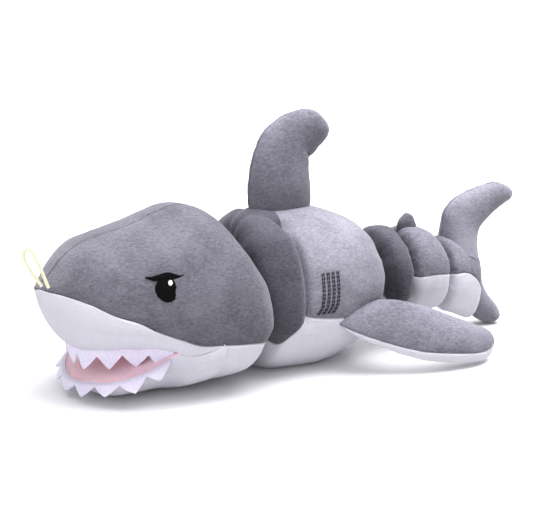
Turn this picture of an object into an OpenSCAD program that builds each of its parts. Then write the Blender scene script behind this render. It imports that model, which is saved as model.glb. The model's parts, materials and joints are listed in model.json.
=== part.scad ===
// Plush shark: stuffed fabric chambers sewn nose to tail, with fins, felt teeth,
// embroidered eyes and gills, a hang loop at the nose and a squeaker in the body.
// Nose points to -Y, tail to +Y, the shark's left side is +X, and it lies on z = 0.

/* [Size] */
// Length from the nose to the tip of the tail fin
overall_length = 356; // [300:1:420]
// Thickness of the plush fabric with its pile
fabric = 2; // [1.6:0.1:2.4]
// Thickness of the felt that the teeth are cut from
felt = 1.4; // [1:0.1:2]
// Space between the fabric and the stuffing behind it
stuffing_gap = 0.5; // [0.3:0.1:1]

/* [Teeth] */
// Number of teeth on each felt strip
tooth_count = 9; // [7:1:11]
// Height of the plain band above the upper teeth
upper_band = 4; // [3:0.5:5]
// Height of an upper tooth
upper_tooth = 7; // [5:0.5:8]
// How far the band of the lower strip folds out over the lip
lower_band = 3; // [2:0.5:4]
// Height of a lower tooth
lower_tooth = 6; // [4:0.5:7]

/* [Embroidery] */
// Half height of the eye, in degrees around the head
eye_half_angle = 7.5; // [5:0.5:8]
// Half width of the eye along the head
eye_half_width = 6.7; // [5:0.1:8]
// Number of stitched gill lines on each side
gill_count = 4; // [3:1:5]
// Thickness of the raised thread
thread = 0.8; // [0.5:0.1:1.2]

/* [Hang loop] */
// Diameter of the loop cord
loop_diameter = 2; // [1.5:0.1:2.4]

/* [Squeaker] */
// Outer radius of the squeaker's bulb
bulb_radius = 15; // [12:1:17]
// Wall thickness of the bulb
bulb_wall = 1.5; // [1:0.1:2]

/* [Colours] */
// Grey plush of the head, neck and tail
dark_grey = "#7d7a85";
// Lighter grey plush of the body and tail fin
light_grey = "#a5a3ae";
// White plush of the muzzle and belly
white_plush = "#e6e5f0";
// White felt
white_felt = "#ddd8ea";
// Pink felt of the mouth
pink_felt = "#e2a9b8";

/* [Hidden] */
$fn = 48;
design_length = 356;
size = overall_length / design_length;

// Half the gap between two panels that are sewn together, in degrees around a chamber
stitch = 0.5;

// A chamber: nose-side end, tail-side end, length of the rounding at each end, and its
// stations. A station is [y, half width, lowest z, highest z, z of the widest place].
head = [-178, -44.6, 40, 14, [
    [-178, 22, 44, 78, 71], [-160, 40, 33, 92, 62], [-135, 53, 31, 99, 53],
    [-112, 60, 27, 104, 47], [-98, 62, 10, 109, 44], [-82, 62, 3, 111, 43],
    [-62, 60, 4, 103, 43], [-44.6, 47, 12, 88, 44]]];
jaw = [-152, -105, 20, 14, [
    [-152, 29, 4, 13, 9], [-135, 41, 0.5, 19, 13], [-118, 45, 0.5, 22.5, 15.5],
    [-105, 41.5, 0.5, 21.5, 14.5]]];
trunk = [-40.6, 57.6, 12, 26, [
    [-40.6, 47, 5, 101, 50], [-28, 50, -2, 103, 50], [-17, 50, -2.4, 101, 51],
    [12, 51, -2.2, 100, 52], [35, 46, 7, 92, 53], [57.6, 38, 14, 86, 54]]];
tail_base = [59.4, 77.6, 8, 7, [
    [59.4, 30, 20, 80, 51], [68, 31, 20, 80, 51], [77.6, 29, 20, 80, 51]]];
tail_mid = [79.2, 112.2, 9, 9, [
    [79.2, 27, 20, 80, 50], [96, 27, 20, 77.5, 49], [112.2, 25, 18.5, 69, 46]]];
tail_end = [113.8, 148, 8, 9, [
    [113.8, 22, 18, 68.5, 44], [128, 19, 12, 67, 40], [148, 13, 3, 58, 34]]];

// A fin is a row of ribs from its root to its tip. A rib is
// [key, leading edge x, y, z, trailing edge x, y, z, half thickness].
dorsal_ribs = [
    [0, 0, -31, 105.5, 0, 12, 103.5, 4], [1, 0, -33, 117, 0, 12, 112, 9],
    [2, 0, -34, 129, 0, 11.5, 121, 9.5], [3, 0, -30, 141, 0, 11, 127, 9],
    [4, 0, -23, 152, 0, 11.5, 131, 9], [5, 0, -10, 160.5, 0, 14, 134, 8.5],
    [6, 0, 3.5, 164, 0, 17, 137.5, 8.5], [7, 0, 14, 163, 0, 21, 141.5, 8],
    [8, 0, 21, 157, 0, 24, 145.5, 5], [8.5, 0, 24, 153.5, 0, 25, 149.5, 1.6]];
pectoral_ribs = [
    [0, 52, 2, 36, 49.8, 38, 44, 1.5], [1, 58, 14, 29, 54, 52, 40, 9],
    [2, 67, 32, 22, 58, 68, 33, 12], [3, 75, 52, 16, 60, 86, 25, 12],
    [4, 80, 76, 12.5, 62, 102, 18, 11], [5, 79, 97, 10, 64, 115, 13, 8.5],
    [6, 73, 112, 9.5, 70, 117, 10.2, 1.6]];
caudal_ribs = [
    [0, 0, 119, 74, 0, 147, 64, 5], [1, 0, 121, 84, 0, 149, 70, 9],
    [2, 0, 127, 92.5, 0, 155, 75.5, 9], [3, 0, 139, 97.5, 0, 162, 80.5, 8.5],
    [4, 0, 152, 100.5, 0, 169, 85, 8], [5, 0, 164, 101.5, 0, 175, 88, 6.5],
    [6, 0, 175.5, 96, 0, 177.6, 92.5, 1.6]];
lower_lobe_ribs = [
    [0, 0, 149.5, 38, 0, 149.5, 4, 6], [1, 0, 154, 30, 0, 151, 3, 8],
    [2, 0, 160, 20, 0, 154, 2, 8], [3, 0, 168, 9, 0, 159, 1, 6.5],
    [4, 0, 168.5, 4.5, 0, 165, 1.5, 1.6]];
second_dorsal_ribs = [
    [0, 0, 80.5, 80.8, 0, 97, 78.2, 3.5], [1, 0, 82, 85, 0, 97, 82, 4.5],
    [2, 0, 86, 88, 0, 95, 85.5, 3.5], [2.6, 0, 89, 89, 0, 92, 88, 1.2]];

// Where the grey side panel meets the white muzzle: [share of the way, y, angle from the top]
head_seam = [[0, -177.8, 84], [0.06, -169.7, 79], [0.16, -154, 88], [0.32, -132.4, 89],
    [0.46, -110, 99], [0.62, -88, 98], [0.8, -62, 101], [1, -44.8, 108]];
// The seam from the nose back to where the muzzle ends in a point under the cheek
muzzle_seam = [[0, -177.8, 120], [0.2, -169.7, 80], [0.4, -154, 88], [0.6, -132.4, 89],
    [0.8, -110, 99], [1, -84, 99]];
// The upper lip from the middle of the mouth back past its corner
upper_lip = [[0, -156, 179], [0.2, -153.7, 157], [0.4, -144, 147], [0.6, -132, 137],
    [0.8, -110, 119], [1, -84, 103]];

// Route of the upper lip strip and of the lower one, from the middle to the corner of
// the mouth: [share of the way, x, y, z]
upper_strip = [[0, 0, -154.5, 30], [0.33, 21, -145.5, 32], [0.66, 41, -124, 33],
    [1, 48, -110, 32]];
lower_strip = [[0, 0, -154, 11], [0.33, 23.5, -149.5, 13.5], [0.66, 44, -130, 17.5],
    [1, 49, -113, 20.5]];

// Route of the loop cord, from one sewn end to the other
loop_route = [[12, -174, 73], [10.5, -175.5, 78], [9, -177, 83.5], [8, -179, 89],
    [7, -180.5, 93], [5.5, -182, 95.5], [4, -184, 95.5], [3, -185.5, 92.5],
    [4, -184, 87], [6, -181.5, 81.5], [8, -178.5, 76.5], [9, -177, 73.8]];

// Depth of the stuffing's surface below the skin's outer face
deep = fabric + stuffing_gap;

// Centre of the squeaker, radius of its cap and reed plug, and radius of the hollow in
// the stuffing around it
squeaker_at = [0, 20, 50];
cap_radius = 8.2;
reed_radius = 4.9;
hollow_radius = 17;

x_axis = [1, 0, 0];
z_axis = [0, 0, 1];

// ---- Curves -------------------------------------------------------------------------

// Slope of a row list at row i, from its neighbours
function slope(rows, i) =
    let (a = rows[max(i - 1, 0)], b = rows[min(i + 1, len(rows) - 1)]) (b - a) / (b[0] - a[0]);

// Index of the span of a row list that holds a key
function span(rows, key, i = 0) =
    i >= len(rows) - 2 || key < rows[i + 1][0] ? i : span(rows, key, i + 1);

// The row at a key, on a smooth curve through all rows
function along(rows, key) =
    let (i = span(rows, key), a = rows[i], b = rows[i + 1], h = b[0] - a[0],
         s = (key - a[0]) / h, s2 = s * s, s3 = s2 * s)
    (2 * s3 - 3 * s2 + 1) * a + (s3 - 2 * s2 + s) * h * slope(rows, i)
    + (3 * s2 - 2 * s3) * b + (s3 - s2) * h * slope(rows, i + 1);

// From 0 to 1 in n steps, with short steps at both ends
function eased(i, n) = (1 - cos(180 * i / n)) / 2;

// n + 1 places [y, angle] along an edge, turned a little for the seam
function edge(rows, n, turn = 0) =
    [for (i = [0:n]) let (r = along(rows, eased(i, n))) [r[1], r[2] + turn]];

// An edge that keeps one angle from y = a to y = b
function straight(a, b, angle, n) = [for (i = [0:n]) [a + (b - a) * eased(i, n), angle]];

// The same edge on the other side of the shark
function mirrored(places) = [for (p = places) [p[0], 360 - p[1]]];

// ---- Surfaces -----------------------------------------------------------------------

// Quarter-ellipse rounding: 0 at the end of a chamber, 1 past its rounded length
function rounding(s) = s >= 1 ? 1 : sqrt(1 - (1 - s) * (1 - s));

// Point of a chamber's surface at y and an angle from the top, moved in by inset
function chamber_point(c, y, angle, inset) =
    let (share = (y - c[0]) / (c[1] - c[0]),
         a = c[0] + inset, b = c[1] - inset, yy = a + (b - a) * share, r = along(c[4], yy),
         grow = rounding((yy - a) / c[2]) * rounding((b - yy) / c[3]),
         reach = cos(angle) > 0 ? r[3] - inset - r[4] : r[4] - inset - r[2])
    [(r[1] - inset) * grow * sin(angle), yy, max(r[4] + reach * grow * cos(angle), inset)];

// Point of a fin's surface at a key and a turn around the rib, moved in by inset
function fin_point(ribs, key, turn, normal, inset) =
    let (r = along(ribs, key), a = [r[1], r[2], r[3]], b = [r[4], r[5], r[6]],
         half = (b - a) / 2, chord = norm(half),
         shrunk = half * max(chord - inset, 0.6) / chord,
         p = (a + b) / 2 - shrunk * cos(turn) + normal * max(r[7] - inset, 0.5) * sin(turn))
    [p[0], p[1], max(p[2], inset)];

// Two triangles for the cell at row i, column j of a grid with w columns
function cell(i, j, w, o) =
    [[o + i * w + j, o + i * w + j + 1, o + (i + 1) * w + j + 1],
     [o + i * w + j, o + (i + 1) * w + j + 1, o + (i + 1) * w + j]];
function turned(faces) = [for (f = faces) [f[2], f[1], f[0]]];
// Two triangles that join place a to b on the outer grid to the same places inside
function rim(a, b, o) = [[a, o + a, o + b], [a, o + b, b]];

// Faces of a slab between two grids of n + 1 by m + 1 points, the outer grid first
function slab_faces(n, m) =
    let (w = m + 1, o = (n + 1) * w)
    concat(
        [for (i = [0:n - 1], j = [0:m - 1]) each cell(i, j, w, 0)],
        [for (i = [0:n - 1], j = [0:m - 1]) each turned(cell(i, j, w, o))],
        [for (j = [0:m - 1]) each rim(j, j + 1, o)],
        [for (j = [0:m - 1]) each rim(n * w + j + 1, n * w + j, o)],
        [for (i = [0:n - 1]) each rim((i + 1) * w, i * w, o)],
        [for (i = [0:n - 1]) each rim(i * w + m, (i + 1) * w + m, o)]);

// Faces of a closed body of n rings of m points, with a centre point at each end
function ring_faces(n, m) =
    concat(
        [for (i = [0:n - 2], j = [0:m - 1]) let (k = (j + 1) % m)
            each [[i * m + j, i * m + k, (i + 1) * m + k], [i * m + j, (i + 1) * m + k, (i + 1) * m + j]]],
        [for (j = [0:m - 1]) [n * m, (j + 1) % m, j]],
        [for (j = [0:m - 1]) [n * m + 1, (n - 1) * m + j, (n - 1) * m + (j + 1) % m]]);

module slab(outer, inner, n, m)
    scale(size) polyhedron(concat(outer, inner), slab_faces(n, m));

// A fabric panel on a chamber between two edges, from depth high to depth low
module panel(c, edge_a, edge_b, m, high = 0, low = fabric) {
    n = len(edge_a) - 1;
    function grid(inset) = [for (i = [0:n], j = [0:m])
        let (p = edge_a[i] + (edge_b[i] - edge_a[i]) * j / m) chamber_point(c, p[0], p[1], inset)];
    slab(grid(high), grid(low), n, m);
}

// One half of a fin's skin, from turn a to turn b around its ribs
module fin_panel(ribs, normal, a, b, n, m) {
    last = ribs[len(ribs) - 1][0];
    function grid(inset) = [for (i = [0:n], j = [0:m])
        fin_point(ribs, last * i / n, a + (b - a) * j / m, normal, inset)];
    slab(grid(0), grid(fabric), n, m);
}

// A closed body of rings, each ring a list of m points, with its two end points
module ringed(rings, start, end) {
    n = len(rings);
    m = len(rings[0]);
    scale(size) polyhedron(concat([for (r = rings) each r], [start, end]), ring_faces(n, m));
}

// Rings of a chamber's stuffing between two shares of its length
function stuffing_rings(c, n, m, from, to, depth) =
    [for (i = [0:n - 1]) let (y = c[0] + (c[1] - c[0]) * (from + (to - from) * eased(i, n - 1)))
        [for (j = [0:m - 1]) chamber_point(c, y, -360 * j / m, depth)]];

function middle(ring) = (ring[0] + ring[len(ring) / 2]) / 2;

// The stuffing of a chamber between two shares of its length
module chamber_stuffing(c, n, m, from = 0.004, to = 0.996, depth = deep) {
    rings = stuffing_rings(c, n, m, from, to, depth);
    ringed(rings, middle(rings[0]), middle(rings[n - 1]));
}

// A sleeve of stuffing around the squeaker: chamber surface outside, round hollow inside
module stuffing_sleeve(c, n, m, from, to) {
    outer = stuffing_rings(c, n, m, from, to, deep);
    inner = [for (r = outer) [for (j = [0:m - 1])
        [-hollow_radius * sin(360 * j / m), r[j][1], squeaker_at[2] + hollow_radius * cos(360 * j / m)]]];
    o = n * m;
    function next(i, j) = i * m + (j + 1) % m;
    faces = concat(
        [for (i = [0:n - 2], j = [0:m - 1])
            each [[i * m + j, next(i, j), next(i + 1, j)], [i * m + j, next(i + 1, j), (i + 1) * m + j]]],
        [for (i = [0:n - 2], j = [0:m - 1])
            each turned([[o + i * m + j, o + next(i, j), o + next(i + 1, j)],
                         [o + i * m + j, o + next(i + 1, j), o + (i + 1) * m + j]])],
        [for (j = [0:m - 1]) each rim(j, next(0, j), o)],
        [for (j = [0:m - 1]) each rim(next(n - 1, j), (n - 1) * m + j, o)]);
    scale(size) polyhedron(concat([for (r = outer) each r], [for (r = inner) each r]), faces);
}

// A solid fin, or a fin's stuffing when depth is the skin's thickness and more
module fin_body(ribs, normal, n, m, depth, from = 0, to = 1) {
    last = ribs[len(ribs) - 1][0];
    spin = normal == z_axis ? 360 : -360;
    rings = [for (i = [0:n - 1]) [for (j = [0:m - 1])
        fin_point(ribs, last * (from + (to - from) * i / (n - 1)), spin * j / m, normal, depth)]];
    ringed(rings, middle(rings[0]), middle(rings[n - 1]));
}

// A tube swept along a route, with the plane of the route given by its normal
module tube(route, radius, normal, n, m) {
    rows = [for (i = [0:len(route) - 1]) concat([i], route[i])];
    last = len(route) - 1;
    function place(t) = let (r = along(rows, t)) [r[1], r[2], r[3]];
    function unit(v) = v / norm(v);
    rings = [for (i = [0:n]) let (t = last * i / n, p = place(t),
            ahead = unit(place(min(t + 0.05, last)) - place(max(t - 0.05, 0))),
            side = unit(cross(normal, ahead)), up = cross(ahead, side))
        [for (j = [0:m - 1]) p + radius * (side * cos(360 * j / m) + up * sin(-360 * j / m))]];
    ringed(rings, middle(rings[0]), middle(rings[n]));
}

// ---- Felt teeth ---------------------------------------------------------------------

// 0 between two teeth and 1 at a tip, for a share of the way along the strip
function zigzag(s) = let (f = s * tooth_count - floor(s * tooth_count)) 1 - abs(2 * f - 1);
// Place on a strip's route, from the right corner at s = 0 to the left one at s = 1
function lip_place(route, s) =
    let (t = 2 * s - 1, r = along(route, abs(t))) [t < 0 ? -r[1] : r[1], r[2], r[3]];
// Level direction that points out of the mouth
function outward(route, s) =
    let (d = lip_place(route, min(s + 0.02, 1)) - lip_place(route, max(s - 0.02, 0)))
    [d[1], -d[0], 0] / norm([d[0], d[1]]);

// A zigzag strip of felt. Its band leaves the lip along band_way and its teeth along
// tooth_way, each [part outward, part upward].
module tooth_strip(route, band, tooth, band_way, tooth_way) {
    n = 4 * tooth_count;
    function way(s, w) = outward(route, s) * w[0] + [0, 0, w[1]];
    function grid(depth) = [for (i = [0:n], j = [0:2])
        let (s = i / n, fold = lip_place(route, s) + way(s, band_way) * (j > 0 ? band : 0))
        fold + (j == 2 ? way(s, tooth_way) * (0.8 + tooth * zigzag(s)) : [0, 0, 0])
        - way(s, [tooth_way[1] * -1, tooth_way[0]]) * depth];
    slab(grid(felt), grid(0), n, 2);
}

// ---- Stitched and printed detail ----------------------------------------------------

// Edge of a round patch around y and an angle, on side -1 or 1
function round_edge(y, angle, half_y, half_angle, side, n) =
    [for (i = [0:n]) [y + side * half_y * max(sin(180 * i / n), 0.15), angle - half_angle * cos(180 * i / n)]];

// A raised round patch on a chamber
module round_patch(c, y, angle, half_y, half_angle, high, low) {
    n = 10;
    panel(c, round_edge(y, angle, half_y, half_angle, -1, n),
        round_edge(y, angle, half_y, half_angle, 1, n), 4, -high, -low);
}

module on_side(side) {
    if (side == "right") mirror([1, 0, 0]) children();
    else children();
}

// ---- Head ---------------------------------------------------------------------------

module head_panel(side) {
    n = 18;
    color(dark_grey) on_side(side)
        panel(head, edge(head_seam, n, -stitch), [for (p = edge(head_seam, n)) [p[0], stitch]], 8);
}

module muzzle() {
    n = 14;
    seam = edge(muzzle_seam, n, stitch);
    lip = edge(upper_lip, n, -stitch);
    function both(e) = concat([for (i = [n:-1:0]) [e[i][0], 360 - e[i][1]]], e);
    color(white_plush) panel(head, both(lip), both(seam), 6);
}

module throat() {
    rows = [[0, -108, 118], [0.35, -84, 103], [0.65, -62, 101], [1, -44.8, 108]];
    left = edge(rows, 12, stitch);
    color(white_plush) panel(head, mirrored(left), left, 14);
}

module palate() {
    left = [for (p = edge(upper_lip, 16, stitch)) if (p[0] > -153 && p[0] < -109) p];
    color(pink_felt) panel(head, mirrored(left), left, 6, 0, felt);
}

module upper_teeth()
    color(white_felt)
        tooth_strip(upper_strip, upper_band, upper_tooth, [0.05, -1], [0.05, -1]);

eye_y = -116.5;
eye_angle = 62;
module eye(side)
    color("black") on_side(side) {
        round_patch(head, eye_y, eye_angle, eye_half_width, eye_half_angle, thread + 0.3, 0.3);
        lid = [for (i = [0:10]) [eye_y - 10.5 + 2.1 * i, 53 + pow((i - 4) / 6, 2) * 1.5]];
        panel(head, lid, [for (p = lid) [p[0], p[1] - 1.3]], 1, -thread - 0.3, -0.3);
    }

module eye_glint(side)
    color("white") on_side(side)
        round_patch(head, eye_y + 2.3, eye_angle - 3, 1.6, 2.4, 2 * thread + 0.5, thread + 0.5);

module head_stuffing() color("white") chamber_stuffing(head, 16, 20, depth = deep + 2);

module hang_loop()
    color("#dfe6b4") tube(loop_route, loop_diameter / 2, [-0.7, 0.7, 0.11], 28, 8);

// ---- Jaw ----------------------------------------------------------------------------

mouth_edge = 72;
module jaw_skin() {
    left = straight(-151.8, -105.2, mouth_edge + stitch, 14);
    color(white_plush) panel(jaw, mirrored(left), left, 12);
}

module mouth_floor() {
    left = straight(-151.8, -105.2, mouth_edge - stitch, 14);
    color(pink_felt) panel(jaw, left, [for (p = left) [p[0], -p[1]]], 8, 0, felt);
}

module lower_teeth()
    color(white_felt)
        tooth_strip(lower_strip, lower_band, lower_tooth, [0.94, -0.34], [0.5, -0.87]);

module jaw_stuffing() color("white") chamber_stuffing(jaw, 10, 16);

// ---- Body ---------------------------------------------------------------------------

neck_seam = [[0, -40.4, 116], [0.5, -30, 104], [1, -18.2, 101]];
torso_seam = [[0, -17.8, 101], [0.3, 5, 105], [0.6, 35, 108], [1, 57.4, 112]];

// Back or belly panel of a chamber, with its seam along rows
module back(c, rows, n, m) {
    left = edge(rows, n, -stitch);
    panel(c, left, [for (p = left) [p[0], -p[1]]], m);
}
module belly(c, rows, n, m) {
    left = edge(rows, n, stitch);
    panel(c, mirrored(left), left, m);
}

module neck_gather_thread()
    color("grey") scale(size) translate([0, -42.6, 48]) rotate([90, 0, 0])
        rotate_extrude() translate([12, 0]) circle(r = thread / 2);

module neck_back() color(dark_grey) back(trunk, neck_seam, 8, 14);
module neck_belly() color(white_plush) belly(trunk, neck_seam, 8, 16);
module torso_back() color(light_grey) back(trunk, torso_seam, 14, 16);
module torso_belly() color(white_plush) belly(trunk, torso_seam, 14, 16);

module gills(side)
    color("#3a3840") on_side(side)
        for (i = [0:gill_count - 1]) {
            rows = [[0, -7.2 + 3.4 * i, 70], [0.7, -8.2 + 3.4 * i, 93], [1, -11.6 + 3.4 * i, 100]];
            line = edge(rows, 8);
            panel(trunk, line, [for (p = line) [p[0] + 1.3, p[1]]], 1, -thread - 0.3, -0.3);
        }

module body_stuffing() color("white") {
    chamber_stuffing(trunk, 8, 20, 0.004, 0.432);
    stuffing_sleeve(trunk, 6, 20, 0.437, 0.792);
    chamber_stuffing(trunk, 7, 20, 0.797, 0.996);
}

module squeaker_bulb()
    color("white") scale(size) translate(squeaker_at) difference() {
        sphere(r = bulb_radius);
        sphere(r = bulb_radius - bulb_wall);
        translate([0, 0, bulb_radius / 2]) cylinder(r = cap_radius + 0.4, h = bulb_radius);
        translate([0, 0, -1.5 * bulb_radius]) cylinder(r = reed_radius + 0.1, h = bulb_radius);
    }

module squeaker_reed()
    color("ivory") scale(size) translate(squeaker_at + [0, 0, -bulb_radius - 1]) difference() {
        cylinder(r = reed_radius, h = 6);
        translate([0, 0, -1]) cylinder(r = 1.6, h = 8);
    }
module squeaker_cap()
    color("ivory") scale(size) translate(squeaker_at + [0, 0, bulb_radius - 3.6])
        cylinder(r = cap_radius, h = 2.4);

// ---- Fins ---------------------------------------------------------------------------

// Half the gap between the two halves of a fin's skin, in degrees around a rib
rib_gap = 2;

module dorsal_panel(side)
    color(light_grey) on_side(side) fin_panel(dorsal_ribs, x_axis, 180 - rib_gap, rib_gap, 16, 8);
module dorsal_stuffing()
    color("white") fin_body(dorsal_ribs, x_axis, 12, 14, deep, 0.08, 0.93);

module pectoral_top(side)
    color(light_grey) on_side(side) fin_panel(pectoral_ribs, z_axis, rib_gap, 180 - rib_gap, 12, 8);
module pectoral_underside(side)
    color(white_plush) on_side(side)
        fin_panel(pectoral_ribs, z_axis, 180 + rib_gap, 360 - rib_gap, 12, 8);
module pectoral_stuffing(side)
    color("white") on_side(side) fin_body(pectoral_ribs, z_axis, 9, 12, deep, 0.12, 0.9);

module second_dorsal() color(dark_grey) fin_body(second_dorsal_ribs, x_axis, 8, 12, 0);

// ---- Tail ---------------------------------------------------------------------------

tail_base_seam = [[0, 59.6, 104], [1, 77.4, 104]];
tail_mid_seam = [[0, 79.4, 90], [1, 112, 87]];
tail_end_seam = [[0, 114, 85], [0.5, 130, 80], [0.8, 139, 92], [1, 147.8, 120]];

module tail_base_back() color(dark_grey) back(tail_base, tail_base_seam, 8, 12);
module tail_base_belly() color(white_plush) belly(tail_base, tail_base_seam, 8, 10);
module tail_base_stuffing() color("white") chamber_stuffing(tail_base, 7, 16);
module tail_mid_back() color(dark_grey) back(tail_mid, tail_mid_seam, 10, 12);
module tail_mid_belly() color(white_plush) belly(tail_mid, tail_mid_seam, 10, 10);
module tail_mid_stuffing() color("white") chamber_stuffing(tail_mid, 9, 16);
module tail_end_back() color(light_grey) back(tail_end, tail_end_seam, 12, 10);
module tail_end_belly() color(white_plush) belly(tail_end, tail_end_seam, 12, 10);
module tail_end_stuffing() color("white") chamber_stuffing(tail_end, 9, 14);

module caudal_panel(side)
    color(light_grey) on_side(side) fin_panel(caudal_ribs, x_axis, 180 - rib_gap, rib_gap, 14, 8);
module caudal_stuffing()
    color("white") fin_body(caudal_ribs, x_axis, 10, 12, deep, 0.12, 0.9);
module lower_lobe() color(light_grey) fin_body(lower_lobe_ribs, x_axis, 9, 12, 0);

// ---- Assembly -----------------------------------------------------------------------

head_panel("left");  // head_left_panel
head_panel("right");  // head_right_panel
muzzle();
throat();
palate();
upper_teeth();
eye("left");  // eye_left
eye("right");  // eye_right
eye_glint("left");  // eye_glint_left
eye_glint("right");  // eye_glint_right
head_stuffing();
hang_loop();
jaw_skin();
mouth_floor();
lower_teeth();
jaw_stuffing();
neck_gather_thread();
neck_back();
neck_belly();
torso_back();
torso_belly();
gills("left");  // gills_left
gills("right");  // gills_right
body_stuffing();
squeaker_bulb();
squeaker_reed();
squeaker_cap();
dorsal_panel("left");  // dorsal_left_panel
dorsal_panel("right");  // dorsal_right_panel
dorsal_stuffing();
pectoral_top("left");  // pectoral_left_top
pectoral_underside("left");  // pectoral_left_underside
pectoral_stuffing("left");  // pectoral_left_stuffing
pectoral_top("right");  // pectoral_right_top
pectoral_underside("right");  // pectoral_right_underside
pectoral_stuffing("right");  // pectoral_right_stuffing
tail_base_back();
tail_base_belly();
tail_base_stuffing();
tail_mid_back();
tail_mid_belly();
tail_mid_stuffing();
second_dorsal();
tail_end_back();
tail_end_belly();
tail_end_stuffing();
caudal_panel("left");  // caudal_left_panel
caudal_panel("right");  // caudal_right_panel
caudal_stuffing();
lower_lobe();
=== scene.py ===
"""Plush shark: sewn plush skins, felt teeth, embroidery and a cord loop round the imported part."""

import json
import math

import bpy
import numpy as np
from bpy.props import FloatProperty, FloatVectorProperty, PointerProperty
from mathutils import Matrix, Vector


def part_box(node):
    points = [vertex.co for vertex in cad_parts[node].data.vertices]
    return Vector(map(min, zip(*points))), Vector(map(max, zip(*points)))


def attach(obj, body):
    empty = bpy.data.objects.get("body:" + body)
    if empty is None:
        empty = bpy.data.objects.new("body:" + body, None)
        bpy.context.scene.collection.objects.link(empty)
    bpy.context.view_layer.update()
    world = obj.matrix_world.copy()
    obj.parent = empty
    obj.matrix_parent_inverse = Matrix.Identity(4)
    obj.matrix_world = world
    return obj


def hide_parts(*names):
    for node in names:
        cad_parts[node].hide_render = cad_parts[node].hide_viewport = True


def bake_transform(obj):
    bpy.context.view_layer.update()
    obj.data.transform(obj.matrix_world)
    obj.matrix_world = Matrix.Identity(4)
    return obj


bl_info = {
    "name": "Plush shark",
    "version": (1, 0, 0),
    "blender": (4, 5, 0),
    "location": "3D View > Sidebar > Shark",
    "description": "Fabric, felt and thread surfaces of a stuffed toy shark",
    "category": "Add Mesh",
}

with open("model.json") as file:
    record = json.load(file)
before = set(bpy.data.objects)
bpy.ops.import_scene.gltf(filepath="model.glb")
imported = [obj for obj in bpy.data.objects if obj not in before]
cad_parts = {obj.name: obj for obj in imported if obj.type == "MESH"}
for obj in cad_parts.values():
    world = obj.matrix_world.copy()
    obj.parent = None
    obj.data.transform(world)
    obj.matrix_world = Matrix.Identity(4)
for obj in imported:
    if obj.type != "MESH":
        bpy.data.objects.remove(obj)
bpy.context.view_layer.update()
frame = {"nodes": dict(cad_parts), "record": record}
JOINTS = {joint["name"]: joint for joint in frame["record"]["behaviour"]["joints"]}

# All tables below are in millimetres for a shark of this length, nose to tail
TABLE_LENGTH = 355.4
NOSE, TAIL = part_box("head_left_panel")[0][1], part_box("caudal_left_panel")[1][1]
MM = (TAIL - NOSE) / TABLE_LENGTH


def joint_place(name):
    """Place of a joint in table millimetres."""
    return np.array(JOINTS[name]["pos_m"]) / MM


def table_mm(metres):
    """Table millimetres of a length in metres, to a thousandth."""
    return round(metres / MM, 3)


NECK = joint_place("neck_turn")
HEAD_PIVOT = joint_place("head_nod")
JAW_PIVOT = joint_place("jaw_open")
DORSAL_PIVOT = joint_place("dorsal_flop")
PECTORAL_PIVOT = joint_place("pectoral_left_flap")
RUMP = joint_place("tail_swing")
TAIL_BEND = joint_place("tail_lift")
TAIL_TIP_BEND = joint_place("caudal_sway")

# ---- Curves and noise ---------------------------------------------------------------


def smooth_rows(rows, keys):
    """Rows at the given keys: cubic pieces through all rows, whose slopes come from the neighbours."""
    table = np.array(rows, float)
    k, v = table[:, 0], table[:, 1:]
    slope = np.empty_like(v)
    slope[1:-1] = (v[2:] - v[:-2]) / (k[2:] - k[:-2])[:, None]
    slope[0] = (v[1] - v[0]) / (k[1] - k[0])
    slope[-1] = (v[-1] - v[-2]) / (k[-1] - k[-2])
    t = np.clip(keys, k[0], k[-1])
    i = np.clip(np.searchsorted(k, t, side="right") - 1, 0, len(k) - 2)
    h = (k[i + 1] - k[i])[..., None]
    s = (t - k[i])[..., None] / h
    return (
        (2 * s**3 - 3 * s**2 + 1) * v[i]
        + (s**3 - 2 * s**2 + s) * h * slope[i]
        + (3 * s**2 - 2 * s**3) * v[i + 1]
        + (s**3 - s**2) * h * slope[i + 1]
    )


def ramp(x, low, high):
    """0 below low, 1 above high, and an S curve between."""
    t = np.clip((x - low) / (high - low), 0, 1)
    return t * t * (3 - 2 * t)


def noise(points, spacing, seed):
    """Smooth random field from -1 to 1: a random value at each lattice corner, joined by S curves."""
    q = np.asarray(points, float) / spacing + 500.0
    corner = np.floor(q).astype(np.int64)
    f = q - corner
    f = f * f * (3 - 2 * f)
    total = np.zeros(q.shape[:-1])
    for step in np.ndindex(2, 2, 2):
        cell = corner + np.array(step)
        value = seed * 97561 + cell @ np.array((374761393, 668265263, 2147483647))
        value = (value ^ (value >> 13)) * 1274126177 & 0xFFFFFFFF
        value = ((value ^ (value >> 16)) & 0xFFFF) / 32767.5 - 1
        total += value * np.prod(np.where(step, f, 1 - f), axis=-1)
    return total


def noise_along(s, spacing, seed):
    """The same field along a line."""
    return noise(np.stack([s, 0 * s, 0 * s], -1), spacing, seed)


# ---- Shapes -------------------------------------------------------------------------


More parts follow.
